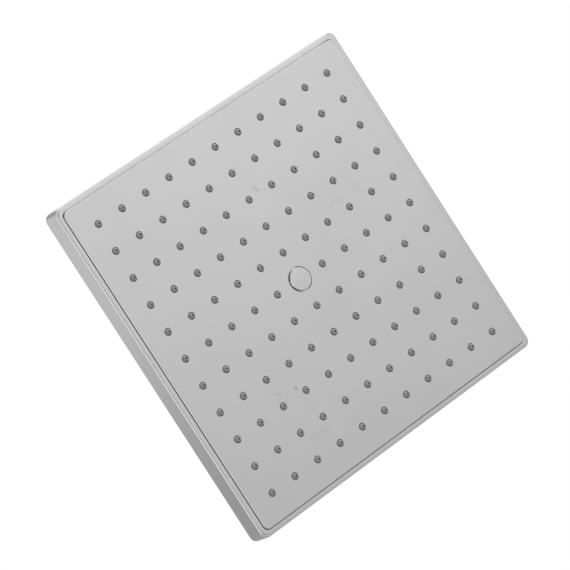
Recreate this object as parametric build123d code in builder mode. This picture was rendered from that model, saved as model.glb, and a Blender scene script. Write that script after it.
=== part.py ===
import os
from math import asin, cos, degrees, radians, sin, sqrt

from build123d import *

# Square rain shower head with a ball-jointed inlet, in millimetres, +Z up.
# It hangs as it is used: spray face down, inlet up. The origin is on the inlet's axis,
# where its thread begins. Levels below are heights above the spray face.

# Housing
head_width = 200.0
head_depth = 14.8
head_corner = 4.0
back_edge_radius = 1.2
back_wall = 2.2
edge_step_width = 1.15       # narrow ledge round the rim
edge_step_drop = 0.65
edge_rounding = 0.6
rim_width = 1.8
rim_rounding = 0.3
rim_corner = 3.5
shelf_width = 4.6            # seat of the gasket round the water chamber
pad_radius = 30.0            # raised disc under the ball joint
pad_height = 1.8
pad_rounding = 1.2

# Face plate
plate_gap = 0.35             # clearance between the plate and the rim
plate_proud = 0.85           # the plate stands out past the rim
plate_thickness = 2.4
plate_corner = 3.0
plate_rounding = 0.4

# Nozzles
nozzle_rows = 11             # along each side; the middle place holds the cap
nozzle_margin = 14.45        # outer row to the plate's edge
nozzle_hole_radius = 2.05
nozzle_clearance = 0.25
nozzle_height = 1.9          # how far a nozzle stands out of the plate
nozzle_tip_radius = 1.15
nozzle_outlet_radius = 0.55
nozzle_feed_radius = 1.0
nozzle_outlet_length = 2.2

# Layers behind the plate
mat_thickness = 1.2
backing_thickness = 2.2
gasket_thickness = 1.0
layer_clearance = 0.5        # round the edges of the mat, backing plate and gasket

# Screws that hold the backing plate
screw_radius = 1.25
screw_head_radius = 2.3
screw_length = 8.0
screw_boss_wall = 1.75
screw_boss_gap = 0.5         # between the bosses and the chamber's wall
screws_per_side = 4
drive_width = 0.6            # slots of the cross recess
thread_clearance = 0.05

# Centre screw and cap
cap_radius = 6.45
cap_gap = 0.45
cap_proud = 0.85
cap_recess = 1.6
cap_rounding = 0.5
cap_skirt_wall = 0.8
cap_skirt_length = 1.8
cap_skirt_clearance = 0.15
cap_slot_width = 1.4
cap_slots = 4
head_bore_radius = 5.2       # bore round the centre screw's head
head_floor = 1.4
boss_wall = 1.1
boss_clearance = 0.2
centre_screw_radius = 2.0
centre_screw_length = 8.0
centre_head_radius = 3.6
centre_head_height = 1.8
centre_washer_radius = 4.4
centre_washer_thickness = 0.8
insert_wall = 0.85
insert_length = 5.6
post_wall = 1.7
post_rise = 0.8              # how far the post stands up into the water passage
post_flange_radius = 9.2
post_flange_height = 2.4
post_rib_width = 2.0
post_rib_reach = 16.0
post_ribs = 4
post_rib_turn = 45.0         # the ribs point at the head's corners
seal_width = 1.4
seal_depth = 1.1

# Ball joint
ball_radius = 10.0
water_bore_radius = 4.5
neck_wall = 1.7
neck_fillet = 1.2
tilt_angle = 18.0            # the inlet tilts this far either way
tilt_clearance = 0.5
passage_radius = 6.5
passage_length = 3.9         # housing's thickness under the ball's cup
floor_clearance = 0.7
running_gap = 0.2            # between the ball and what it turns in
ring_gap = 0.12              # between the slip ring and what holds it
cup_clearance = 1.0
cup_wall = 2.0
cup_rim_rise = 2.0           # rim of the cup above the ball's centre
seal_rise = 4.5
sleeve_wall = 1.95
sleeve_gap = 0.6             # between the collar nut and the pad
collar_wall = 3.1
collar_straight = 8.2
collar_top_wall = 2.6
collar_top_land = 1.7
collar_grips = 12
collar_grip_radius = 2.4
collar_grip_depth = 0.5
ball_capture = 0.7           # how much smaller the collar's mouth is than the ball
ring_flange = 1.5
ring_start_rise = 0.6

# Inlet socket, for a half-inch pipe thread
thread_radius = 9.3155       # at the crests
thread_length = 10.0
thread_mouth = 0.8
relief_depth = 0.5
relief_length = 2.4
socket_floor = 2.6
socket_flats = 25.0
socket_bevel = 1.1
washer_thickness = 2.2
washer_clearance = 0.2
regulator_length = 7.0
regulator_clearance = 0.15
regulator_flange = 1.2
regulator_flange_width = 1.7
regulator_jet_radius = 0.7
regulator_jets = 8
screen_thickness = 0.5
screen_clearance = 0.2
screen_hole_radius = 0.45
screen_hole_pitch = 1.5
screen_hole_rows = 6
o_ring_height = 1.2
o_ring_depth = 0.8

# Worked-out sizes
opening_width = head_width - 2 * (edge_step_width + rim_width)
plate_width = opening_width - 2 * plate_gap
chamber_width = opening_width - 2 * shelf_width
layer_width = opening_width - 2 * layer_clearance
gasket_inner = chamber_width + 2 * thread_clearance
nozzle_pitch = (plate_width - 2 * nozzle_margin) / (nozzle_rows - 1)
nozzle_radius = nozzle_hole_radius - nozzle_clearance
screw_boss_radius = screw_radius + screw_boss_wall
screw_place = chamber_width / 2 - screw_boss_radius - screw_boss_gap
boss_radius = head_bore_radius + boss_wall
boss_hole_radius = boss_radius + boss_clearance
insert_radius = centre_screw_radius + thread_clearance + insert_wall
post_radius = insert_radius + thread_clearance + post_wall
seal_radius = (boss_hole_radius + post_flange_radius) / 2
neck_radius = water_bore_radius + neck_wall
cup_radius = ball_radius + cup_clearance
sleeve_inner = cup_radius + cup_wall + thread_clearance
sleeve_radius = sleeve_inner + sleeve_wall
collar_bore = sleeve_radius + thread_clearance
collar_radius = collar_bore + collar_wall
ring_sphere = ball_radius + running_gap
mouth_radius = ball_radius - ball_capture
ring_top_rise = sqrt(ring_sphere**2 - mouth_radius**2)
ring_radius = cup_radius + ring_flange
lip_rise = ring_top_rise + ring_gap
collar_top_rise = lip_rise + collar_top_wall
socket_corner = socket_flats / sqrt(3)
tilt = radians(tilt_angle)
neck_reach = (collar_top_rise + tilt_clearance + socket_corner * sin(tilt)) / cos(tilt)
relief_radius = thread_radius + relief_depth
washer_radius = relief_radius - washer_clearance
regulator_radius = water_bore_radius - regulator_clearance
regulator_flange_radius = water_bore_radius + regulator_flange_width
washer_hole_radius = regulator_flange_radius + screen_clearance

# Levels above the spray face
step_level = plate_proud + edge_step_drop
backing_level = plate_thickness + mat_thickness
gasket_level = backing_level + backing_thickness
shelf_level = gasket_level + gasket_thickness
ceiling_level = head_depth - back_wall
centre_head_level = gasket_level - head_floor - centre_washer_thickness
centre_tip_level = centre_head_level + centre_screw_length
pad_level = head_depth + pad_height
cup_floor_level = ceiling_level + passage_length
ball_level = cup_floor_level + sqrt((ball_radius + floor_clearance) ** 2 - passage_radius**2)
cup_rim_level = ball_level + cup_rim_rise
socket_level = ball_level + neck_reach
socket_floor_level = socket_level + socket_floor
thread_level = socket_floor_level + relief_length
inlet_level = thread_level + thread_length
face_z = -inlet_level


def z(level):
    return face_z + level


def at(level):
    return Plane.XY.offset(z(level))


def square(width, corner):
    RectangleRounded(width, width, corner)


spray_places = [
    (column * nozzle_pitch, row * nozzle_pitch)
    for column in [index - (nozzle_rows - 1) / 2 for index in range(nozzle_rows)]
    for row in [index - (nozzle_rows - 1) / 2 for index in range(nozzle_rows)]
    if column or row
]
screw_steps = [2 * index / screws_per_side - 1 for index in range(screws_per_side)]
screw_places = [
    place
    for step in screw_steps
    for place in [
        (step * screw_place, -screw_place),
        (screw_place, step * screw_place),
        (-step * screw_place, screw_place),
        (-screw_place, -step * screw_place),
    ]
]

os.makedirs("parts", exist_ok=True)

# Housing: a moulded tray, open at the spray side, with the ball's cup on its back
with BuildPart() as back_shell:
    with BuildSketch(at(step_level)):
        square(head_width, head_corner)
    extrude(amount=head_depth - step_level)
    fillet(back_shell.faces().sort_by(Axis.Z)[-1].edges(), back_edge_radius)
    fillet(back_shell.faces().sort_by(Axis.Z)[0].edges(), edge_rounding)
    with BuildSketch(at(plate_proud)):
        square(head_width - 2 * edge_step_width, rim_corner)
    extrude(amount=edge_step_drop)
    fillet(back_shell.faces().sort_by(Axis.Z)[0].edges(), rim_rounding)
    with BuildSketch(at(head_depth)):
        Circle(pad_radius)
    extrude(amount=pad_height)
    fillet(back_shell.faces().sort_by(Axis.Z)[-1].edges(), pad_rounding)
    with BuildSketch(at(pad_level)):
        Circle(cup_radius + cup_wall)
    extrude(amount=cup_rim_level - pad_level)
    with BuildSketch(at(plate_proud)):
        square(opening_width, plate_corner + plate_gap)
    extrude(amount=shelf_level - plate_proud, mode=Mode.SUBTRACT)
    with BuildSketch(at(shelf_level)):
        square(chamber_width, screw_boss_radius)
    extrude(amount=ceiling_level - shelf_level, mode=Mode.SUBTRACT)
    with BuildSketch(at(cup_floor_level)):
        Circle(cup_radius)
    extrude(amount=cup_rim_level - cup_floor_level, mode=Mode.SUBTRACT)
    with BuildSketch(at(ceiling_level)):
        Circle(passage_radius)
    extrude(amount=cup_floor_level - ceiling_level, mode=Mode.SUBTRACT)
    with BuildSketch(at(gasket_level)):
        with Locations(*screw_places):
            Circle(screw_boss_radius)
    extrude(amount=ceiling_level - gasket_level)
    with BuildSketch(at(gasket_level)):
        with Locations(*screw_places):
            Circle(screw_radius + thread_clearance)
    extrude(amount=screw_length - backing_thickness, mode=Mode.SUBTRACT)
    with BuildSketch(at(gasket_level)):
        Circle(post_flange_radius)
    extrude(amount=post_flange_height)
    with BuildSketch(at(gasket_level + post_flange_height)):
        Circle(post_radius)
    extrude(amount=ceiling_level + post_rise - gasket_level - post_flange_height)
    with BuildSketch(at(gasket_level + post_flange_height)):
        with PolarLocations(0, post_ribs, start_angle=post_rib_turn):
            Rectangle(post_rib_reach, post_rib_width, align=(Align.MIN, Align.CENTER))
    extrude(amount=ceiling_level - gasket_level - post_flange_height)
    with BuildSketch(at(gasket_level)):
        Circle(insert_radius + thread_clearance)
    extrude(amount=insert_length, mode=Mode.SUBTRACT)
    with BuildSketch(at(gasket_level)):
        Circle(centre_screw_radius + thread_clearance)
    extrude(amount=centre_tip_level + thread_clearance - gasket_level, mode=Mode.SUBTRACT)
    with BuildSketch(at(gasket_level)):
        Circle(seal_radius + seal_width / 2)
        Circle(seal_radius - seal_width / 2, mode=Mode.SUBTRACT)
    extrude(amount=seal_depth, mode=Mode.SUBTRACT)
back_shell.part.label = "back_shell"
export_step(back_shell.part, "parts/back_shell.step")

# Face plate: the visible sheet, with the cap's recess and a boss that reaches back to the post
with BuildPart() as face_plate:
    with BuildSketch(at(0)):
        square(plate_width, plate_corner)
    extrude(amount=plate_thickness)
    fillet(face_plate.faces().sort_by(Axis.Z)[0].edges(), plate_rounding)
    with BuildSketch(at(plate_thickness)):
        Circle(boss_radius)
    extrude(amount=gasket_level - plate_thickness)
    with BuildSketch(at(0)):
        Circle(cap_radius + cap_gap)
    extrude(amount=cap_recess, mode=Mode.SUBTRACT)
    with BuildSketch(at(cap_recess)):
        Circle(head_bore_radius)
    extrude(amount=gasket_level - head_floor - cap_recess, mode=Mode.SUBTRACT)
    with BuildSketch(at(gasket_level - head_floor)):
        Circle(centre_screw_radius + boss_clearance)
    extrude(amount=head_floor, mode=Mode.SUBTRACT)
    with BuildSketch(at(0)):
        with Locations(*spray_places):
            Circle(nozzle_hole_radius)
    extrude(amount=plate_thickness, mode=Mode.SUBTRACT)
face_plate.part.label = "face_plate"
export_step(face_plate.part, "parts/face_plate.step")

# Nozzle mat: one silicone moulding, a sheet with a nozzle for each hole of the plate
with BuildPart() as nozzle_mat:
    with BuildSketch(at(plate_thickness)):
        square(layer_width, plate_corner)
        Circle(boss_hole_radius, mode=Mode.SUBTRACT)
    extrude(amount=mat_thickness)
    with BuildSketch(at(0)):
        with Locations(*spray_places):
            Circle(nozzle_radius)
    extrude(amount=plate_thickness)
    with Locations(*[(x, y, z(0)) for x, y in spray_places]):
        Cone(
            nozzle_tip_radius,
            nozzle_radius,
            nozzle_height,
            align=(Align.CENTER, Align.CENTER, Align.MAX),
        )
    with BuildSketch(at(nozzle_outlet_length - nozzle_height)):
        with Locations(*spray_places):
            Circle(nozzle_feed_radius)
    extrude(amount=backing_level - nozzle_outlet_length + nozzle_height, mode=Mode.SUBTRACT)
    with BuildSketch(at(-nozzle_height)):
        with Locations(*spray_places):
            Circle(nozzle_outlet_radius)
    extrude(amount=nozzle_outlet_length, mode=Mode.SUBTRACT)
nozzle_mat.part.label = "nozzle_mat"
export_step(nozzle_mat.part, "parts/nozzle_mat.step")

# Backing plate: presses the mat against the face plate and feeds each nozzle
with BuildPart() as backing_plate:
    with BuildSketch(at(backing_level)):
        square(layer_width, plate_corner)
        Circle(boss_hole_radius, mode=Mode.SUBTRACT)
        with Locations(*spray_places):
            Circle(nozzle_feed_radius, mode=Mode.SUBTRACT)
        with Locations(*screw_places):
            Circle(screw_radius + thread_clearance, mode=Mode.SUBTRACT)
    extrude(amount=backing_thickness)
    with Locations(*[(x, y, z(backing_level)) for x, y in screw_places]):
        Cone(
            screw_head_radius + thread_clearance,
            screw_radius + thread_clearance,
            screw_head_radius - screw_radius,
            align=(Align.CENTER, Align.CENTER, Align.MIN),
            mode=Mode.SUBTRACT,
        )
backing_plate.part.label = "backing_plate"
export_step(backing_plate.part, "parts/backing_plate.step")

# Countersunk screws, driven from the spray side into the housing's bosses
with BuildPart() as backing_screws:
    with BuildSketch(at(backing_level)):
        with Locations(*screw_places):
            Circle(screw_radius)
    extrude(amount=screw_length)
    with Locations(*[(x, y, z(backing_level)) for x, y in screw_places]):
        Cone(
            screw_head_radius,
            screw_radius,
            screw_head_radius - screw_radius,
            align=(Align.CENTER, Align.CENTER, Align.MIN),
        )
    with BuildSketch(at(backing_level)):
        with Locations(*screw_places):
            Rectangle(2 * screw_radius, drive_width)
            Rectangle(drive_width, 2 * screw_radius)
    extrude(amount=drive_width, mode=Mode.SUBTRACT)
backing_screws.part.label = "backing_screws"
export_step(backing_screws.part, "parts/backing_screws.step")

# Gasket round the water chamber
with BuildPart() as chamber_gasket:
    with BuildSketch(at(gasket_level)):
        square(layer_width, plate_corner)
        RectangleRounded(gasket_inner, gasket_inner, screw_boss_radius, mode=Mode.SUBTRACT)
    extrude(amount=gasket_thickness)
chamber_gasket.part.label = "chamber_gasket"
export_step(chamber_gasket.part, "parts/chamber_gasket.step")

# Brass insert that the centre screw bites into
with BuildPart() as centre_insert:
    with BuildSketch(at(gasket_level)):
        Circle(insert_radius)
        Circle(centre_screw_radius + thread_clearance, mode=Mode.SUBTRACT)
    extrude(amount=insert_length)
centre_insert.part.label = "centre_insert"
export_step(centre_insert.part, "parts/centre_insert.step")

# Seal in the post's foot, squeezed against the backing plate
with BuildPart() as centre_seal:
    with BuildSketch(at(gasket_level)):
        Circle(seal_radius + seal_width / 2 - thread_clearance)
        Circle(seal_radius - seal_width / 2 + thread_clearance, mode=Mode.SUBTRACT)
    extrude(amount=seal_depth)
    fillet(centre_seal.edges(), seal_width / 4)
centre_seal.part.label = "centre_seal"
export_step(centre_seal.part, "parts/centre_seal.step")

# Washer under the centre screw's head
with BuildPart() as centre_washer:
    with BuildSketch(at(centre_head_level)):
        Circle(centre_washer_radius)
        Circle(centre_screw_radius + thread_clearance, mode=Mode.SUBTRACT)
    extrude(amount=centre_washer_thickness)
centre_washer.part.label = "centre_washer"
export_step(centre_washer.part, "parts/centre_washer.step")

# Centre screw: holds the face plate to the housing's post
with BuildPart() as centre_screw:
    with BuildSketch(at(centre_head_level)):
        Circle(centre_screw_radius)
    extrude(amount=centre_screw_length)
    with BuildSketch(at(centre_head_level)):
        Circle(centre_head_radius)
    extrude(amount=-centre_head_height)
    fillet(centre_screw.faces().sort_by(Axis.Z)[0].edges(), centre_head_height / 3)
    with BuildSketch(at(centre_head_level - centre_head_height)):
        Rectangle(2 * centre_screw_radius, drive_width)
        Rectangle(drive_width, 2 * centre_screw_radius)
    extrude(amount=centre_head_height / 2, mode=Mode.SUBTRACT)
centre_screw.part.label = "centre_screw"
export_step(centre_screw.part, "parts/centre_screw.step")

# Cap over the centre screw, held by its split skirt
with BuildPart() as centre_cap:
    with BuildSketch(at(cap_recess)):
        Circle(head_bore_radius - cap_skirt_clearance)
        Circle(head_bore_radius - cap_skirt_clearance - cap_skirt_wall, mode=Mode.SUBTRACT)
    extrude(amount=cap_skirt_length)
    with BuildSketch(at(cap_recess)):
        with PolarLocations(0, cap_slots):
            Rectangle(head_bore_radius, cap_slot_width, align=(Align.MIN, Align.CENTER))
    extrude(amount=cap_skirt_length, mode=Mode.SUBTRACT)
    with BuildSketch(at(-cap_proud)):
        Circle(cap_radius)
    extrude(amount=cap_recess + cap_proud)
    fillet(centre_cap.faces().sort_by(Axis.Z)[0].edges(), cap_rounding)
centre_cap.part.label = "centre_cap"
export_step(centre_cap.part, "parts/centre_cap.step")

# Threaded brass sleeve on the cup, for the collar nut
with BuildPart() as boss_sleeve:
    with BuildSketch(at(pad_level)):
        Circle(sleeve_radius)
        Circle(sleeve_inner, mode=Mode.SUBTRACT)
    extrude(amount=cup_rim_level - pad_level)
boss_sleeve.part.label = "boss_sleeve"
export_step(boss_sleeve.part, "parts/boss_sleeve.step")


def ball_arc(low_rise, high_rise):
    low = degrees(asin(low_rise / ring_sphere))
    high = degrees(asin(high_rise / ring_sphere))
    CenterArc((0, z(ball_level)), ring_sphere, low, high - low)


# Rubber seat under the ball
seal_low_rise = -sqrt(ring_sphere**2 - passage_radius**2)
seal_outer = cup_radius - thread_clearance
seal_top = cup_floor_level + seal_rise
seal_top_radius = sqrt(ring_sphere**2 - (ball_level - seal_top) ** 2)
with BuildPart() as ball_seal:
    with BuildSketch(Plane.XZ):
        with BuildLine():
            Polyline(
                (passage_radius, z(ball_level + seal_low_rise)),
                (passage_radius, z(cup_floor_level)),
                (seal_outer, z(cup_floor_level)),
                (seal_outer, z(seal_top)),
                (seal_top_radius, z(seal_top)),
            )
            ball_arc(seal_low_rise, seal_top - ball_level)
        make_face()
    revolve(axis=Axis.Z)
ball_seal.part.label = "ball_seal"
export_step(ball_seal.part, "parts/ball_seal.step")

# Slip ring over the ball: it turns in the collar, and the ball tilts in it
ring_start = ball_level + ring_start_rise
ring_top = ball_level + ring_top_rise
ring_start_radius = sqrt(ring_sphere**2 - ring_start_rise**2)
with BuildPart() as slip_ring:
    with BuildSketch(Plane.XZ):
        with BuildLine():
            Polyline(
                (mouth_radius, z(ring_top)),
                (ring_radius, z(ring_top)),
                (ring_radius, z(cup_rim_level + ring_gap)),
                (cup_radius - ring_gap, z(cup_rim_level + ring_gap)),
                (cup_radius - ring_gap, z(ring_start)),
                (ring_start_radius, z(ring_start)),
            )
            ball_arc(ring_start_rise, ring_top_rise)
        make_face()
    revolve(axis=Axis.Z)
slip_ring.part.label = "slip_ring"
export_step(slip_ring.part, "parts/slip_ring.step")

# Collar nut: screws on the sleeve and keeps the ball in its cup
collar_start = pad_level + sleeve_gap
collar_shoulder = collar_start + collar_straight
collar_top = ball_level + collar_top_rise
thread_end = cup_rim_level + ring_gap
with BuildPart() as collar_nut:
    with BuildSketch(Plane.XZ):
        with BuildLine():
            Polyline(
                (mouth_radius + collar_top_land, z(collar_top)),
                (mouth_radius, z(collar_top)),
                (mouth_radius, z(ball_level + lip_rise)),
                (ring_radius + ring_gap, z(ball_level + lip_rise)),
                (ring_radius + ring_gap, z(thread_end)),
                (collar_bore, z(thread_end)),
                (collar_bore, z(collar_start)),
                (collar_radius, z(collar_start)),
                (collar_radius, z(collar_shoulder)),
            )
            EllipticalCenterArc(
                (mouth_radius + collar_top_land, z(collar_shoulder)),
                collar_radius - mouth_radius - collar_top_land,
                collar_top - collar_shoulder,
                start_angle=0,
                arc_size=90,
            )
        make_face()
    revolve(axis=Axis.Z)
    with BuildSketch(at(collar_start)):
        with PolarLocations(collar_radius + collar_grip_radius - collar_grip_depth, collar_grips):
            Circle(collar_grip_radius)
    extrude(amount=collar_straight, mode=Mode.SUBTRACT)
collar_nut.part.label = "collar_nut"
export_step(collar_nut.part, "parts/collar_nut.step")

# Inlet: ball, neck and threaded socket turned from one bar
ball_foot_radius = water_bore_radius + neck_wall / 2
ball_foot = ball_level - sqrt(ball_radius**2 - ball_foot_radius**2)
ball_crown = ball_level + sqrt(ball_radius**2 - neck_radius**2)
mouth_level = inlet_level + thread_mouth
with BuildPart() as ball_fitting:
    with BuildSketch(at(socket_level)):
        RegularPolygon(socket_flats / 2, 6, major_radius=False)
    extrude(amount=mouth_level - socket_level)
    with BuildSketch(Plane.XZ):
        with BuildLine():
            Polyline(
                (0, z(socket_level)),
                (socket_corner - socket_bevel, z(socket_level)),
                (socket_corner, z(socket_level + socket_bevel / 2)),
                (socket_corner, z(mouth_level - socket_bevel / 2)),
                (socket_corner - socket_bevel, z(mouth_level)),
                (0, z(mouth_level)),
                close=True,
            )
        make_face()
    revolve(axis=Axis.Z, mode=Mode.INTERSECT)
    with BuildSketch(Plane.XZ):
        with BuildLine():
            Polyline((0, z(socket_level)), (0, z(ball_foot)), (ball_foot_radius, z(ball_foot)))
            ThreePointArc(
                (ball_foot_radius, z(ball_foot)), (ball_radius, z(ball_level)), (neck_radius, z(ball_crown))
            )
            Polyline(
                (neck_radius, z(ball_crown)),
                (neck_radius, z(socket_level - neck_fillet)),
                (neck_radius + neck_fillet, z(socket_level)),
                (0, z(socket_level)),
            )
        make_face()
    revolve(axis=Axis.Z)
    with BuildSketch(Plane.XZ):
        with BuildLine():
            Polyline(
                (0, z(ball_foot)),
                (water_bore_radius, z(ball_foot)),
                (water_bore_radius, z(socket_floor_level)),
                (relief_radius, z(socket_floor_level)),
                (relief_radius, z(thread_level)),
                (thread_radius, z(thread_level)),
                (thread_radius, z(inlet_level)),
                (thread_radius + thread_mouth, z(mouth_level)),
                (0, z(mouth_level)),
                close=True,
            )
        make_face()
    revolve(axis=Axis.Z, mode=Mode.SUBTRACT)
ball_fitting.part.label = "ball_fitting"
export_step(ball_fitting.part, "parts/ball_fitting.step")

# Rubber washer that the pipe's end is pressed on
with BuildPart() as inlet_washer:
    with BuildSketch(at(socket_floor_level)):
        Circle(washer_radius)
        Circle(washer_hole_radius, mode=Mode.SUBTRACT)
    extrude(amount=washer_thickness)
    fillet(inlet_washer.edges(), washer_thickness / 8)
inlet_washer.part.label = "inlet_washer"
export_step(inlet_washer.part, "parts/inlet_washer.step")

# Flow regulator in the inlet's bore
groove_level = socket_floor_level - regulator_length / 2
with BuildPart() as flow_regulator:
    with BuildSketch(at(socket_floor_level)):
        Circle(regulator_radius)
    extrude(amount=-regulator_length)
    with BuildSketch(at(socket_floor_level)):
        Circle(regulator_flange_radius)
    extrude(amount=regulator_flange)
    with BuildSketch(at(groove_level)):
        Circle(regulator_radius)
        Circle(water_bore_radius - o_ring_depth - thread_clearance, mode=Mode.SUBTRACT)
    extrude(amount=o_ring_height + 2 * thread_clearance, mode=Mode.SUBTRACT)
    jet_circle = (water_bore_radius - o_ring_depth) / 2 + regulator_jet_radius / 2
    with BuildSketch(at(socket_floor_level - regulator_length)):
        with PolarLocations(jet_circle, regulator_jets):
            Circle(regulator_jet_radius)
    extrude(amount=regulator_length + regulator_flange, mode=Mode.SUBTRACT)
flow_regulator.part.label = "flow_regulator"
export_step(flow_regulator.part, "parts/flow_regulator.step")

# Ring that seals the regulator in the bore
with BuildPart() as regulator_o_ring:
    with BuildSketch(at(groove_level + thread_clearance)):
        Circle(water_bore_radius - thread_clearance)
        Circle(water_bore_radius - o_ring_depth, mode=Mode.SUBTRACT)
    extrude(amount=o_ring_height)
    fillet(regulator_o_ring.edges(), o_ring_depth / 4)
regulator_o_ring.part.label = "regulator_o_ring"
export_step(regulator_o_ring.part, "parts/regulator_o_ring.step")

# Strainer disc on top of the regulator
with BuildPart() as filter_screen:
    with BuildSketch(at(socket_floor_level + regulator_flange)):
        Circle(regulator_flange_radius)
        with HexLocations(screen_hole_pitch / 2, screen_hole_rows, screen_hole_rows):
            Circle(screen_hole_radius, mode=Mode.SUBTRACT)
    extrude(amount=screen_thickness)
filter_screen.part.label = "filter_screen"
export_step(filter_screen.part, "parts/filter_screen.step")
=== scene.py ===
import math

import bmesh
import bpy
from mathutils import Matrix, Vector


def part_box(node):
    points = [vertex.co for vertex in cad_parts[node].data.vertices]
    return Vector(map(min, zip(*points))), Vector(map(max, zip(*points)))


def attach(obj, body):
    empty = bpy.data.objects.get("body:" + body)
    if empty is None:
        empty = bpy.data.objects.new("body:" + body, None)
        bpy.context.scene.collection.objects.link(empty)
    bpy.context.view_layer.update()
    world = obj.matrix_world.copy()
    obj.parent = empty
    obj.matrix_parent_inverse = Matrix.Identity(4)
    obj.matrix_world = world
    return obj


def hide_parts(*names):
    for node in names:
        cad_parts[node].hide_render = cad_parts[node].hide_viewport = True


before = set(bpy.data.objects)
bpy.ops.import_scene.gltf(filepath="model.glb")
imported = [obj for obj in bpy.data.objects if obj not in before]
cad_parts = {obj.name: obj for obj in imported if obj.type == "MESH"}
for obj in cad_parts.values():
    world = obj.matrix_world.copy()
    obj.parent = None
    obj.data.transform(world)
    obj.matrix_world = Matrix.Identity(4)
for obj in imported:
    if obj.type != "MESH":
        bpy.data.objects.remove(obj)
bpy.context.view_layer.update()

scene = bpy.context.scene
scene.view_settings.view_transform = "Standard"
mm = 0.001
weld = 0.001 * mm  # points closer than this are one
noiseSpan = (0.3, 0.7)  # nearly all values of a noise texture lie in it
waveSpacing = 0.314  # between the bands of a wave texture at scale 1
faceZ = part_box("face_plate")[0].z  # the spray face; levels are measured up from it
print("frame loaded:", len(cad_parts), "nodes")


def linear(hexCode):
    # sRGB hex to the linear colour that sockets take
    parts = [int(hexCode[i:i + 2], 16) / 255 for i in (1, 3, 5)]
    return [p / 12.92 if p <= 0.04045 else ((p + 0.055) / 1.055) ** 2.4 for p in parts] + [1.0]


def addNode(tree, kind, inputs=None, **settings):
    node = tree.nodes.new(kind)
    for name, value in settings.items():
        setattr(node, name, value)
    fillSockets(tree, node, inputs or {})
    return node


def fillSockets(tree, node, inputs):
    for name, value in inputs.items():
        if isinstance(value, bpy.types.NodeSocket):
            tree.links.new(value, node.inputs[name])
        else:
            node.inputs[name].default_value = value


def startMaterial(name):
    material = bpy.data.materials.new(name)
    material.use_nodes = True
    tree = material.node_tree
    place = addNode(tree, "ShaderNodeTexCoord").outputs["Object"]
    return material, tree, tree.nodes["Principled BSDF"], place


# ABS moulded, then plated with copper, nickel and chrome: a neutral grey mirror, a little soft and hazy
chromePlatedAbsSet = {"clean": "#C8C8C8", "hazy": "#C4C4C4", "hazeSize": 42.0, "roughness": (0.10, 0.16),
                      "peelSize": 3.5, "peelDepth": 0.0006, "dried": "#808080"}

# Specks and wiped smears of dried water on the plate's face: greyer than the mirror round them
plateMarks = [{"spot": (-45.5, -37.5), "reach": (1.8, 1.8), "turn": 0, "strength": 0.45},
              {"spot": (-43.0, -47.5), "reach": (1.8, 1.8), "turn": 0, "strength": 0.14},
              {"spot": (52.0, 6.8), "reach": (4.0, 1.7), "turn": -36, "strength": 0.26},
              {"spot": (25.0, 58.5), "reach": (9.5, 3.8), "turn": -22, "strength": 0.10},
              {"spot": (23.0, 42.0), "reach": (10.0, 2.4), "turn": 88, "strength": 0.07},
              {"spot": (-72.0, -39.5), "reach": (9.0, 3.0), "turn": 89, "strength": 0.09}]


def chromePlatedAbs(name, made, marks=()):
    material, tree, shader, place = startMaterial(name)
    haze = addNode(tree, "ShaderNodeTexNoise", {
        "Vector": place, "Scale": 1 / (made["hazeSize"] * mm), "Detail": 5.0, "Roughness": 0.6})
    tone = addNode(tree, "ShaderNodeMix", {
        "Factor": haze.outputs["Fac"], "A": linear(made["clean"]), "B": linear(made["hazy"])},
        data_type="RGBA")
    for mark in marks:
        # a soft oval on the face: its own coordinates are 0 at its middle and 1 at its edge
        oval = addNode(tree, "ShaderNodeMapping", {
            "Vector": place, "Location": (mark["spot"][0] * mm, mark["spot"][1] * mm, faceZ),
            "Rotation": (0, 0, math.radians(mark["turn"])),
            "Scale": (mark["reach"][0] * mm, mark["reach"][1] * mm, mm)}, vector_type="TEXTURE")
        away = addNode(tree, "ShaderNodeVectorMath", {0: oval.outputs["Vector"]}, operation="LENGTH")
        fade = addNode(tree, "ShaderNodeMapRange", {
            "Value": away.outputs["Value"], "To Min": mark["strength"], "To Max": 0.0},
            interpolation_type="SMOOTHSTEP")
        tone = addNode(tree, "ShaderNodeMix", {
            "Factor": fade.outputs["Result"], "A": tone.outputs["Result"], "B": linear(made["dried"])},
            data_type="RGBA")
    soft = addNode(tree, "ShaderNodeMapRange", {
        "Value": haze.outputs["Fac"], "From Min": noiseSpan[0], "From Max": noiseSpan[1],
        "To Min": made["roughness"][0], "To Max": made["roughness"][1]})
    peel = addNode(tree, "ShaderNodeTexNoise", {
        "Vector": place, "Scale": 1 / (made["peelSize"] * mm), "Detail": 1.0})
    bump = addNode(tree, "ShaderNodeBump", {
        "Height": peel.outputs["Fac"], "Distance": made["peelDepth"] * mm})
    fillSockets(tree, shader, {"Base Color": tone.outputs["Result"], "Metallic": 1.0,
                               "Roughness": soft.outputs["Result"], "Normal": bump.outputs["Normal"]})
    return material


# Brass turned on a lathe, polished and chromed: a sharper mirror than the plated plastic, with faint rings
chromedBrassSet = {"tone": "#C8C8C8", "roughness": (0.05, 0.11), "smearSize": 9.0,
                   "ringSize": 0.5, "ringDepth": 0.0004}


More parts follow.
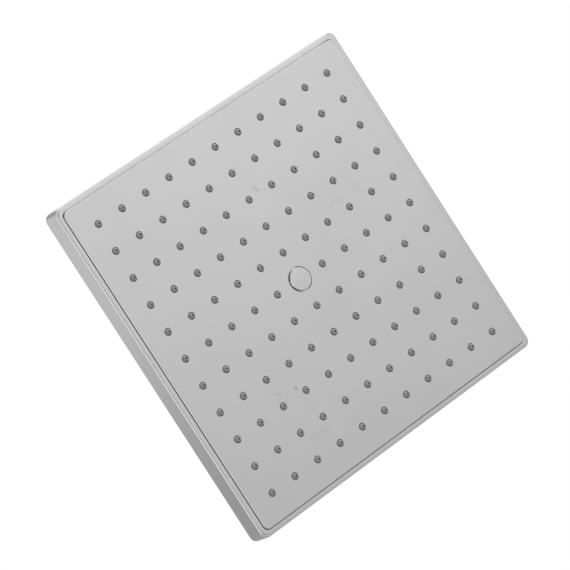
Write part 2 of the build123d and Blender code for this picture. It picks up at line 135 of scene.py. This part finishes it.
def chromedBrass(made):
    material, tree, shader, place = startMaterial("chromedBrass")
    smear = addNode(tree, "ShaderNodeTexNoise", {
        "Vector": place, "Scale": 1 / (made["smearSize"] * mm), "Detail": 4.0})
    soft = addNode(tree, "ShaderNodeMapRange", {
        "Value": smear.outputs["Fac"], "From Min": noiseSpan[0], "From Max": noiseSpan[1],
        "To Min": made["roughness"][0], "To Max": made["roughness"][1]})
    # the true rings are about 0.1 mm apart, drawn coarser so that they show
    rings = addNode(tree, "ShaderNodeTexWave", {
        "Vector": place, "Scale": waveSpacing / (made["ringSize"] * mm), "Distortion": 0.4, "Detail": 1.0},
        bands_direction="Z")
    bump = addNode(tree, "ShaderNodeBump", {
        "Height": rings.outputs["Fac"], "Distance": made["ringDepth"] * mm})
    fillSockets(tree, shader, {"Base Color": linear(made["tone"]), "Metallic": 1.0,
                               "Roughness": soft.outputs["Result"], "Normal": bump.outputs["Normal"]})
    return material


# Liquid silicone moulded in one mat: satin grey, slightly clouded, dull beside the chrome
mouldedSiliconeSet = {"tone": "#989898", "clouded": "#8E8E8E", "cloudSize": 2.0, "roughness": 0.5,
                      "ior": 1.41, "grainSize": 0.35, "grainDepth": 0.01}


def mouldedSilicone(made):
    material, tree, shader, place = startMaterial("mouldedSilicone")
    cloud = addNode(tree, "ShaderNodeTexNoise", {
        "Vector": place, "Scale": 1 / (made["cloudSize"] * mm), "Detail": 2.0})
    tone = addNode(tree, "ShaderNodeMix", {
        "Factor": cloud.outputs["Fac"], "A": linear(made["tone"]), "B": linear(made["clouded"])},
        data_type="RGBA")
    grain = addNode(tree, "ShaderNodeTexNoise", {"Vector": place, "Scale": 1 / (made["grainSize"] * mm)})
    bump = addNode(tree, "ShaderNodeBump", {
        "Height": grain.outputs["Fac"], "Distance": made["grainDepth"] * mm})
    fillSockets(tree, shader, {"Base Color": tone.outputs["Result"], "Roughness": made["roughness"],
                               "IOR": made["ior"], "Normal": bump.outputs["Normal"]})
    return material


# Plain bulk materials of the inner pieces, each with its own grain and wear
bulkSets = {
    # black, dull, faintly bloomed with talc
    "mouldedRubber": {"tone": "#1D1D1E", "worn": "#2A2A2B", "metallic": 0.0, "roughness": (0.50, 0.68),
                      "ior": 1.52, "grain": (0.6, 0.6, 0.6), "depth": 0.02},
    # yellow, with rings from the lathe
    "turnedBrass": {"tone": "#C8A45A", "worn": "#B08C48", "metallic": 1.0, "roughness": (0.22, 0.36),
                    "grain": (4.0, 4.0, 0.3), "depth": 0.004},
    # pale grey, brushed one way by rolling
    "pressedStainless": {"tone": "#B4B6B7", "worn": "#9EA0A1", "metallic": 1.0, "roughness": (0.24, 0.38),
                         "grain": (3.0, 0.25, 0.25), "depth": 0.003},
    # off-white, lightly textured by the mould
    "mouldedWhiteAbs": {"tone": "#E3E3DF", "worn": "#D8D8D2", "metallic": 0.0, "roughness": (0.34, 0.46),
                        "ior": 1.54, "grain": (0.8, 0.8, 0.8), "depth": 0.01},
    # waxy white, slippery
    "mouldedAcetal": {"tone": "#ECEBE3", "worn": "#E2E0D6", "metallic": 0.0, "roughness": (0.28, 0.38),
                      "ior": 1.48, "grain": (1.2, 1.2, 1.2), "depth": 0.005},
}


def bulkMaterial(name, made):
    material, tree, shader, place = startMaterial(name)
    stretch = addNode(tree, "ShaderNodeMapping", {
        "Vector": place, "Scale": [1 / (size * mm) for size in made["grain"]]})
    grain = addNode(tree, "ShaderNodeTexNoise", {
        "Vector": stretch.outputs["Vector"], "Scale": 1.0, "Detail": 3.0})
    tone = addNode(tree, "ShaderNodeMix", {
        "Factor": grain.outputs["Fac"], "A": linear(made["tone"]), "B": linear(made["worn"])},
        data_type="RGBA")
    soft = addNode(tree, "ShaderNodeMapRange", {
        "Value": grain.outputs["Fac"], "From Min": noiseSpan[0], "From Max": noiseSpan[1],
        "To Min": made["roughness"][0], "To Max": made["roughness"][1]})
    bump = addNode(tree, "ShaderNodeBump", {"Height": grain.outputs["Fac"], "Distance": made["depth"] * mm})
    fillSockets(tree, shader, {"Base Color": tone.outputs["Result"], "Metallic": made["metallic"],
                               "Roughness": soft.outputs["Result"], "Normal": bump.outputs["Normal"]})
    if "ior" in made:
        fillSockets(tree, shader, {"IOR": made["ior"]})
    return material


materials = {"plated_abs": chromePlatedAbs("chromePlatedAbs", chromePlatedAbsSet),
             "chromed_brass": chromedBrass(chromedBrassSet),
             "nozzle_silicone": mouldedSilicone(mouldedSiliconeSet)}
slotFinish = {"black_rubber": "mouldedRubber", "bare_brass": "turnedBrass",
              "stainless_steel": "pressedStainless", "white_abs": "mouldedWhiteAbs",
              "acetal": "mouldedAcetal"}
for slotName, finish in slotFinish.items():
    materials[slotName] = bulkMaterial(finish, bulkSets[finish])
plateFinish = chromePlatedAbs("markedChromePlatedAbs", chromePlatedAbsSet, marks=plateMarks)
print("materials made:", len(materials), "and the marked plate's own")


def squareRing(half, perSide, level, repeat=1):
    # evenly spaced points round a square from its lower left corner, each given repeat times
    corners = [Vector((x * half, y * half, level)) for x, y in ((-1, -1), (1, -1), (1, 1), (-1, 1))]
    points = []
    for index, corner in enumerate(corners):
        for step in range(perSide):
            points.extend([corner.lerp(corners[(index + 1) % 4], step / perSide)] * repeat)
    return points


def roundRing(radius, count, level):
    # starts where squareRing does, so that the two pair up; the radius may change round the ring
    lowerLeft = -3 * math.pi / 4
    points = []
    for step in range(count):
        angle = 2 * math.pi * step / count + lowerLeft
        reach = radius(angle) if callable(radius) else radius
        points.append(Vector((reach * math.cos(angle), reach * math.sin(angle), level)))
    return points


def outlineRing(half, corner, perSide, cornerSteps, level):
    # a square with rounded corners: each corner's arc, then the points along the side after it
    points = []
    for index in range(4):
        start = math.pi * (1 + index / 2)
        middle = Matrix.Rotation(index * math.pi / 2, 3, "Z") @ Vector((corner - half, corner - half, 0))
        ahead = Matrix.Rotation((index + 1) * math.pi / 2, 3, "Z") @ Vector((corner - half, corner - half, 0))
        for step in range(cornerSteps + 1):
            angle = start + math.pi / 2 * step / cornerSteps
            points.append(middle + corner * Vector((math.cos(angle), math.sin(angle), 0)))
        end = points[-1]
        for step in range(1, perSide):
            points.append(end + (ahead - middle) * step / perSide)
    return [point + Vector((0, 0, level)) for point in points]


def skinRings(name, rings, closed=False):
    work = bmesh.new()
    made = [[work.verts.new(point) for point in ring] for ring in rings]
    pairs = list(zip(made, made[1:]))
    if closed:
        pairs.append((made[-1], made[0]))
    for near, far in pairs:
        for step in range(len(near)):
            after = (step + 1) % len(near)
            work.faces.new((near[step], near[after], far[after], far[step]))
    bmesh.ops.remove_doubles(work, verts=work.verts, dist=weld)
    mesh = bpy.data.meshes.new(name)
    work.to_mesh(mesh)
    work.free()
    return mesh


def addObject(name, data):
    holder = bpy.data.objects.new(name, data)
    scene.collection.objects.link(holder)
    return holder


def finishPiece(piece, body, node, sharp):
    # outward faces, smooth but for the true edges, then tied to its body, with its CAD node hidden
    work = bmesh.new()
    work.from_mesh(piece.data)
    bmesh.ops.recalc_face_normals(work, faces=work.faces)
    for face in work.faces:
        face.smooth = True
    work.to_mesh(piece.data)
    work.free()
    piece.data.set_sharp_from_angle(angle=math.radians(sharp))
    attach(piece, body)
    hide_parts(node)
    print("made", piece.name, "with", len(piece.data.polygons), "faces")


def perforatedSheet():
    # a sheet of square cells, each with its hole or nozzle; the middle place has a cell of its own
    tree = bpy.data.node_groups.new("perforatedSheet", "GeometryNodeTree")
    for name, kind in (("Rows", "Int"), ("Pitch", "Float"), ("Cell", "Object"), ("Middle cell", "Object"),
                       ("Border", "Object"), ("Seam", "Float"), ("Material", "Material")):
        tree.interface.new_socket(name, in_out="INPUT", socket_type="NodeSocket" + kind)
    tree.interface.new_socket("Sheet", in_out="OUTPUT", socket_type="NodeSocketGeometry")
    given = addNode(tree, "NodeGroupInput").outputs
    spaces = addNode(tree, "ShaderNodeMath", {0: given["Rows"], 1: 1.0}, operation="SUBTRACT")
    span = addNode(tree, "ShaderNodeMath", {0: spaces.outputs[0], 1: given["Pitch"]}, operation="MULTIPLY")
    grid = addNode(tree, "GeometryNodeMeshGrid", {
        "Size X": span.outputs[0], "Size Y": span.outputs[0],
        "Vertices X": given["Rows"], "Vertices Y": given["Rows"]})
    # the middle place is the one nearer to the axis than half a pitch
    place = addNode(tree, "GeometryNodeInputPosition")
    reach = addNode(tree, "ShaderNodeVectorMath", {0: place.outputs[0]}, operation="LENGTH")
    shares = addNode(tree, "ShaderNodeMath", {
        0: reach.outputs["Value"], 1: given["Pitch"]}, operation="DIVIDE")
    middle = addNode(tree, "ShaderNodeMath", {0: shares.outputs[0], 1: 0.5}, operation="LESS_THAN")
    split = addNode(tree, "GeometryNodeSeparateGeometry", {
        "Geometry": grid.outputs["Mesh"], "Selection": middle.outputs[0]}, domain="POINT")
    joined = addNode(tree, "GeometryNodeJoinGeometry")
    for points, cell in (("Inverted", "Cell"), ("Selection", "Middle cell")):
        shape = addNode(tree, "GeometryNodeObjectInfo", {"Object": given[cell]})
        copies = addNode(tree, "GeometryNodeInstanceOnPoints", {
            "Points": split.outputs[points], "Instance": shape.outputs["Geometry"]})
        tree.links.new(copies.outputs["Instances"], joined.inputs[0])
    border = addNode(tree, "GeometryNodeObjectInfo", {"Object": given["Border"]})
    tree.links.new(border.outputs["Geometry"], joined.inputs[0])
    real = addNode(tree, "GeometryNodeRealizeInstances", {0: joined.outputs[0]})
    sewn = addNode(tree, "GeometryNodeMergeByDistance", {
        "Geometry": real.outputs[0], "Distance": given["Seam"]})
    coated = addNode(tree, "GeometryNodeSetMaterial", {
        "Geometry": sewn.outputs[0], "Material": given["Material"]})
    addNode(tree, "NodeGroupOutput", {"Sheet": coated.outputs[0]})
    return tree


# Sheet of the plate and the mat: the margin is from the plate's edge to the middles of its outer holes
sheetTree = perforatedSheet()
sheetSet = {"rows": 11, "margin": 14.45, "perSide": 6, "middleRepeat": 4, "cornerSteps": 8, "seam": 0.004}
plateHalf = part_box("face_plate")[1].x
pitch = 2 * (plateHalf - sheetSet["margin"] * mm) / (sheetSet["rows"] - 1)


def cellMesh(name, profile, repeat=1):
    # a square cell, one pitch wide, with a turned profile of (radius, level) from its front to its back
    perSide = sheetSet["perSide"]
    turned = [roundRing(radius * mm, 4 * perSide * repeat, faceZ + level * mm) for radius, level in profile]
    front, back = [squareRing(pitch / 2, perSide, faceZ + profile[end][1] * mm, repeat) for end in (0, -1)]
    return skinRings(name, [front] + turned + [back])


def borderMesh(name, half, corner, edge):
    # the strip outside the cells; the edge is (inset, level) from front to back
    perSide = sheetSet["rows"] * sheetSet["perSide"]
    steps = sheetSet["cornerSteps"]
    cells = pitch * sheetSet["rows"] / 2
    outer = [outlineRing(half - inset * mm, (corner - inset) * mm, perSide, steps, faceZ + level * mm)
             for inset, level in edge]
    front, back = [outlineRing(cells, 0.0, perSide, steps, faceZ + edge[end][1] * mm) for end in (0, -1)]
    return skinRings(name, [front] + outer + [back])


def growSheet(name, cell, middleCell, border, material):
    helpers = [addObject(mesh.name, mesh) for mesh in (cell, middleCell, border)]
    sheet = addObject(name, bpy.data.meshes.new(name))
    grow = sheet.modifiers.new("sheet", "NODES")
    grow.node_group = sheetTree
    values = {"Rows": sheetSet["rows"], "Pitch": pitch, "Cell": helpers[0], "Middle cell": helpers[1],
              "Border": helpers[2], "Seam": sheetSet["seam"] * mm, "Material": material}
    for socket in sheetTree.interface.items_tree:
        if socket.in_out == "INPUT":
            grow[socket.identifier] = values[socket.name]
    grown = sheet.evaluated_get(bpy.context.evaluated_depsgraph_get())
    sheet.data = bpy.data.meshes.new_from_object(grown)
    sheet.modifiers.clear()
    for helper in helpers:
        bpy.data.objects.remove(helper)
    return sheet


# Face plate: flat, with softened hole edges, and at its middle the cap's recess and the boss behind it
plateSet = {"thickness": 2.4, "corner": 3.0, "edge": 0.4, "edgeSteps": 5, "hole": 2.05, "lip": 0.08,
            "lipSteps": 3, "hold": 0.08, "recess": 6.9, "recessDepth": 1.6, "bore": 5.2, "boreFloor": 1.4,
            "screw": 2.2, "boss": 6.3, "bossTop": 5.8, "sharp": 40}


def quarterTurn(steps):
    return [math.pi / 2 * step / steps for step in range(steps + 1)]


def softLip(made, radius):
    # from the flat face over a rounded edge into a hole; the first ring keeps the face flat
    lip = made["lip"]
    arc = [(radius + lip * (1 - math.sin(a)), lip * (1 - math.cos(a))) for a in quarterTurn(made["lipSteps"])]
    return [(radius + lip + made["hold"], 0)] + arc


def makePlate(made):
    cell = cellMesh("holeCell", softLip(made, made["hole"]) + [(made["hole"], made["thickness"])])
    under = made["bossTop"] - made["boreFloor"]
    middle = softLip(made, made["recess"])
    middle += [(made["recess"], made["recessDepth"]), (made["bore"], made["recessDepth"]),
               (made["bore"], under), (made["screw"], under), (made["screw"], made["bossTop"]),
               (made["boss"], made["bossTop"]), (made["boss"], made["thickness"])]
    middleCell = cellMesh("recessCell", middle, sheetSet["middleRepeat"])
    rounding = made["edge"]
    edge = [(rounding + made["hold"], 0)]
    edge += [(rounding * (1 - math.sin(a)), rounding * (1 - math.cos(a)))
             for a in quarterTurn(made["edgeSteps"])]
    edge += [(0, made["thickness"])]
    border = borderMesh("plateBorder", plateHalf, made["corner"], edge)
    plate = growSheet("facePlate", cell, middleCell, border, plateFinish)
    finishPiece(plate, "head", "face_plate", made["sharp"])


# Nozzle mat: a sheet behind the plate with a tapered nozzle through each hole
matSet = {"front": 2.4, "back": 3.6, "corner": 3.0, "foot": 0.15, "radius": 1.8, "waist": 0.1, "height": 1.9,
          "tip": 1.15, "tipRound": 0.3, "tipSteps": 3, "outlet": 0.55, "outletEdge": 0.2, "outletLength": 2.2,
          "feed": 1.0, "bossHole": 6.5, "sharp": 50}


def makeMat(made):
    drop = made["tipRound"]
    tipLevel = -made["height"]
    shoulder = made["tip"] + drop * (made["radius"] - made["tip"]) / made["height"]
    inside = made["outletLength"] + tipLevel
    nozzle = [(made["radius"] + made["foot"], made["front"]), (made["radius"], made["front"] - made["foot"]),
              (made["radius"], made["waist"]), (made["radius"] - made["waist"] / 2, -made["waist"])]
    nozzle += [(shoulder - drop * (1 - math.cos(a)), tipLevel + drop * (1 - math.sin(a)))
               for a in quarterTurn(made["tipSteps"])]
    nozzle += [(made["outlet"] + made["outletEdge"], tipLevel),
               (made["outlet"], tipLevel + made["outletEdge"]), (made["outlet"], inside),
               (made["feed"], inside), (made["feed"], made["back"])]
    ring = [(made["bossHole"], made["front"]), (made["bossHole"], made["back"])]
    middleCell = cellMesh("bossCell", ring, sheetSet["middleRepeat"])
    edge = [(0, made["front"]), (0, made["back"])]
    border = borderMesh("matBorder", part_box("nozzle_mat")[1].x, made["corner"], edge)
    mat = growSheet("nozzleMat", cellMesh("nozzleCell", nozzle), middleCell, border,
                    materials["nozzle_silicone"])
    finishPiece(mat, "head", "nozzle_mat", made["sharp"])


makePlate(plateSet)
makeMat(matSet)

# Centre cap: its solid's mesh, with the flat front bulged a few hundredths of a millimetre as the moulding is
capSet = {"bulgeRadius": 240.0, "rounding": 0.5, "hold": 0.08, "rings": 4, "ringWidth": 1.2, "sharp": 40}


def makeCap(made):
    work = bmesh.new()
    work.from_mesh(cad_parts["centre_cap"].data)
    bmesh.ops.remove_doubles(work, verts=work.verts, dist=weld)
    # the front is made one face, ringed inwards and given a middle point, then its points move out
    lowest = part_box("centre_cap")[0].z
    front = [face for face in work.faces if face.calc_center_median().z < lowest + weld]
    disc = bmesh.ops.dissolve_faces(work, faces=front)["region"][0]
    rim = disc.verts[0].co.xy.length
    for width in [made["hold"]] + [made["ringWidth"]] * made["rings"]:
        bmesh.ops.inset_individual(work, faces=[disc], thickness=width * mm)
    bmesh.ops.poke(work, faces=[disc])
    for vert in work.verts:
        if vert.co.z < lowest + weld:
            vert.co.z -= (rim ** 2 - vert.co.xy.length_squared) / (2 * made["bulgeRadius"] * mm)
    # a cut just past the rounded edge keeps the wall's shading straight, as the hold ring does on the front
    cut = Vector((0, 0, lowest + (made["rounding"] + made["hold"]) * mm))
    whole = work.verts[:] + work.edges[:] + work.faces[:]
    bmesh.ops.bisect_plane(work, geom=whole, plane_co=cut, plane_no=(0, 0, 1))
    mesh = bpy.data.meshes.new("centreCap")
    work.to_mesh(mesh)
    work.free()
    mesh.attributes.remove(mesh.attributes["custom_normal"])  # the solid's normals don't fit the new faces
    mesh.materials.append(materials["plated_abs"])
    finishPiece(addObject("centreCap", mesh), "head", "centre_cap", made["sharp"])


makeCap(capSet)

# Inlet fitting: ball, neck and hexagon turned from one bar, with the pipe thread cut inside it
fittingSet = {"ball": 10.0, "foot": 5.35, "bore": 4.5, "neck": 6.2, "neckFillet": 1.2, "flats": 25.0,
              "bevel": 1.1, "cornerSharpness": 64, "floor": 2.6, "relief": 9.8155, "reliefLength": 2.4,
              "thread": 9.3155, "threadLength": 10.0, "threadDepth": 0.95, "threadPitch": 1.814,
              "grooveFullness": 0.8, "mouth": 0.8, "around": 144, "perTurn": 14, "ballSteps": 32,
              "edgeSteps": 6, "sharp": 28}


def hexRadius(made, limit):
    # distance to the hexagon's side in a direction, a little rounded at its corners, inside a turned limit
    def radius(angle):
        leans = [max(0.0, math.cos(angle - math.pi * (side + 0.5) / 3)) for side in range(6)]
        blend = sum(lean ** made["cornerSharpness"] for lean in leans)
        return min(made["flats"] / 2 / blend ** (1 / made["cornerSharpness"]), limit) * mm
    return radius


def threadRadius(made, level, threadLevel):
    # a rounded V wound along the bore, running out at its inner end
    fade = min(1.0, (level - threadLevel) / made["threadPitch"])

    def radius(angle):
        phase = (level / made["threadPitch"] - angle / (2 * math.pi)) % 1
        groove = 0.5 - 0.5 * math.cos(2 * math.pi * phase)
        return (made["thread"] + made["threadDepth"] * fade * groove ** made["grooveFullness"]) * mm
    return radius


def makeFitting(made):
    footLevel, top = [(corner.z - faceZ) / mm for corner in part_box("ball_fitting")]
    mouthLevel = top - made["mouth"]
    threadLevel = mouthLevel - made["threadLength"]
    floorLevel = threadLevel - made["reliefLength"]
    hexLevel = floorLevel - made["floor"]
    ball = made["ball"]
    centre = footLevel + math.sqrt(ball ** 2 - made["foot"] ** 2)
    low = -math.acos(made["foot"] / ball)
    high = math.acos(made["neck"] / ball)
    profile = [(made["bore"], footLevel), (made["foot"], footLevel)]
    for step in range(1, made["ballSteps"] + 1):
        angle = low + (high - low) * step / made["ballSteps"]
        profile.append((ball * math.cos(angle), centre + ball * math.sin(angle)))
    fillet = made["neckFillet"]
    profile += [(made["neck"] + fillet * (1 - math.cos(a)), hexLevel - fillet * (1 - math.sin(a)))
                for a in quarterTurn(made["edgeSteps"])]
    rings = [(radius * mm, level) for radius, level in profile]
    # the hexagon's corners are turned off at both ends
    corner = made["flats"] / math.sqrt(3)
    shares = [step / made["edgeSteps"] for step in range(made["edgeSteps"] + 1)]
    bevels = [(hexRadius(made, corner - made["bevel"] * (1 - s)), made["bevel"] / 2 * s) for s in shares]
    rings += [(radius, hexLevel + rise) for radius, rise in bevels]
    rings += [(radius, top - rise) for radius, rise in reversed(bevels)]
    # down the inside: the mouth, the thread and the relief behind it
    rings += [((made["thread"] + made["mouth"]) * mm, top)]
    threadSteps = round(made["threadLength"] / made["threadPitch"] * made["perTurn"])
    for step in range(threadSteps + 1):
        level = mouthLevel - made["threadLength"] * step / threadSteps
        rings.append((threadRadius(made, level, threadLevel), level))
    rings += [(made["relief"] * mm, threadLevel), (made["relief"] * mm, floorLevel),
              (made["bore"] * mm, floorLevel)]
    turned = [roundRing(radius, made["around"], faceZ + level * mm) for radius, level in rings]
    mesh = skinRings("inletFitting", turned, closed=True)
    mesh.materials.append(materials["chromed_brass"])
    finishPiece(addObject("inletFitting", mesh), "inlet", "ball_fitting", made["sharp"])


makeFitting(fittingSet)

# The other CAD nodes keep their solids' meshes and take the finish of their slot
nodeSlots = {"back_shell": "plated_abs", "collar_nut": "chromed_brass", "boss_sleeve": "bare_brass",
             "centre_insert": "bare_brass", "backing_screws": "stainless_steel",
             "centre_screw": "stainless_steel", "centre_washer": "stainless_steel",
             "filter_screen": "stainless_steel", "chamber_gasket": "black_rubber",
             "centre_seal": "black_rubber", "ball_seal": "black_rubber", "inlet_washer": "black_rubber",
             "regulator_o_ring": "black_rubber", "backing_plate": "white_abs", "slip_ring": "acetal",
             "flow_regulator": "acetal"}
for nodeName, slotName in nodeSlots.items():
    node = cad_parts[nodeName]
    node.data.materials.clear()
    node.data.materials.append(materials[slotName])
print("carried over:", len(nodeSlots), "nodes")

# Camera: below the head, looking up at the spray face, rolled as the photograph is
cameraSet = {"spot": (122.65, -926.20, -1680.37), "aim": (1.956, -9.508, -52.325), "roll": -116.22,
             "lens": 226.3, "sensor": 36.0, "clipEnd": 300.0}


def makeCamera(made):
    camera = addObject("camera", bpy.data.cameras.new("camera"))
    spot = Vector(made["spot"]) * mm
    along = Vector(made["aim"]) * mm - spot
    turn = along.to_track_quat("-Z", "Y").to_matrix() @ Matrix.Rotation(math.radians(made["roll"]), 3, "Z")
    camera.matrix_world = Matrix.Translation(spot) @ turn.to_4x4()
    camera.data.lens = made["lens"]
    camera.data.sensor_width = made["sensor"]
    camera.data.clip_end = made["clipEnd"]
    scene.camera = camera


makeCamera(cameraSet)

# Studio, in metres: white behind; the chrome sees pale walls, a grey ceiling with one soft panel,
# and a pool of light on the floor
studioSet = {"white": "#FFFFFF", "dimWall": "#EBEBEB", "ceiling": "#BBBBBB", "panel": "#EFEFEF", "fill": 0.45,
             "wallTop": (0.35, 0.85), "panelWay": (0.22, -0.42, 0.88), "panelEdge": (0.944, 0.967),
             "floorDrop": 1.9, "floorSize": 120.0, "floorTone": "#F2F2F2", "floorRoughness": 0.9,
             "pool": (0.84, 1.23, -1.9), "poolReach": (0.55, 1.75), "poolGlow": (1.21, 0.54)}


def mixRays(tree, plain, mirrored, seen):
    # the camera sees one shader, mirrors and glass another, and light falls from the plain one
    light = addNode(tree, "ShaderNodeLightPath").outputs
    bright = addNode(tree, "ShaderNodeMath", {
        0: light["Is Glossy Ray"], 1: light["Is Transmission Ray"]}, operation="MAXIMUM")
    inside = addNode(tree, "ShaderNodeMixShader", {0: bright.outputs[0], 1: plain, 2: mirrored})
    mixed = addNode(tree, "ShaderNodeMixShader", {0: light["Is Camera Ray"], 1: inside.outputs[0], 2: seen})
    return mixed.outputs[0]


def makeWorld(made):
    world = bpy.data.worlds.new("studio")
    scene.world = world
    world.use_nodes = True
    tree = world.node_tree
    tree.nodes.clear()
    way = addNode(tree, "ShaderNodeTexCoord").outputs["Generated"]
    parts = addNode(tree, "ShaderNodeSeparateXYZ", {0: way})
    side = addNode(tree, "ShaderNodeMapRange", {"Value": parts.outputs["X"], "From Min": -1.0})
    rise = addNode(tree, "ShaderNodeMapRange", {
        "Value": parts.outputs["Z"], "From Min": made["wallTop"][0], "From Max": made["wallTop"][1]})
    wall = addNode(tree, "ShaderNodeMix", {
        "Factor": side.outputs["Result"], "A": linear(made["dimWall"]), "B": linear(made["white"])},
        data_type="RGBA")
    room = addNode(tree, "ShaderNodeMix", {
        "Factor": rise.outputs["Result"], "A": wall.outputs["Result"], "B": linear(made["ceiling"])},
        data_type="RGBA")
    near = addNode(tree, "ShaderNodeVectorMath", {0: way, 1: made["panelWay"]}, operation="DOT_PRODUCT")
    panel = addNode(tree, "ShaderNodeMapRange", {
        "Value": near.outputs["Value"], "From Min": made["panelEdge"][0], "From Max": made["panelEdge"][1]},
        interpolation_type="SMOOTHSTEP")
    tone = addNode(tree, "ShaderNodeMix", {
        "Factor": panel.outputs["Result"], "A": room.outputs["Result"], "B": linear(made["panel"])},
        data_type="RGBA")
    seen = addNode(tree, "ShaderNodeBackground", {"Color": linear(made["white"]), "Strength": 1.0})
    mirrored = addNode(tree, "ShaderNodeBackground", {"Color": tone.outputs["Result"], "Strength": 1.0})
    fill = addNode(tree, "ShaderNodeBackground", {"Color": linear(made["white"]), "Strength": made["fill"]})
    surface = mixRays(tree, fill.outputs[0], mirrored.outputs[0], seen.outputs[0])
    addNode(tree, "ShaderNodeOutputWorld", {"Surface": surface})


def makeFloor(made):
    floor = addObject("floor", bpy.data.meshes.new("floor"))
    half = made["floorSize"] / 2
    floor.data.from_pydata(squareRing(half, 1, -made["floorDrop"]), [], [(0, 1, 2, 3)])
    material, tree, shader, place = startMaterial("paleFloorPaint")
    fillSockets(tree, shader, {"Base Color": linear(made["floorTone"]), "Roughness": made["floorRoughness"]})
    # painted pool of light: the floor glows brighter round one spot, and only mirrors see the glow
    away = addNode(tree, "ShaderNodeVectorMath", {0: place, 1: made["pool"]}, operation="DISTANCE")
    pool = addNode(tree, "ShaderNodeMapRange", {
        "Value": away.outputs["Value"], "From Min": made["poolReach"][0], "From Max": made["poolReach"][1],
        "To Min": made["poolGlow"][0], "To Max": made["poolGlow"][1]})
    lit = addNode(tree, "ShaderNodeEmission", {
        "Color": linear(made["white"]), "Strength": pool.outputs["Result"]})
    seen = addNode(tree, "ShaderNodeEmission", {"Color": linear(made["white"]), "Strength": 1.0})
    surface = mixRays(tree, shader.outputs[0], lit.outputs[0], seen.outputs[0])
    tree.links.new(surface, tree.nodes["Material Output"].inputs["Surface"])
    floor.data.materials.append(material)


# Soft boxes: a key from the photograph's top, a larger one low in front, and one that mirrors don't show
lampSet = {"key": {"spot": (2.10, 0.81, -0.10), "size": (1.3, 2.0), "watts": 11.0},
           "front": {"spot": (0.00, -1.60, -1.20), "size": (1.6, 2.0), "watts": 12.0},
           "side": {"spot": (1.40, 0.90, -0.90), "size": (0.8, 0.8), "watts": 22.0, "mirrored": False}}


def makeLamps(made):
    for name, lamp in made.items():
        light = bpy.data.lights.new(name, "AREA")
        light.shape = "RECTANGLE"
        light.size, light.size_y = lamp["size"]
        light.energy = lamp["watts"]
        holder = addObject(name, light)
        turn = (-Vector(lamp["spot"])).to_track_quat("-Z", "Y").to_matrix().to_4x4()
        holder.matrix_world = Matrix.Translation(lamp["spot"]) @ turn
        holder.visible_camera = False
        holder.visible_glossy = lamp.get("mirrored", True)


makeWorld(studioSet)
makeFloor(studioSet)
makeLamps(lampSet)
print("camera and studio set")
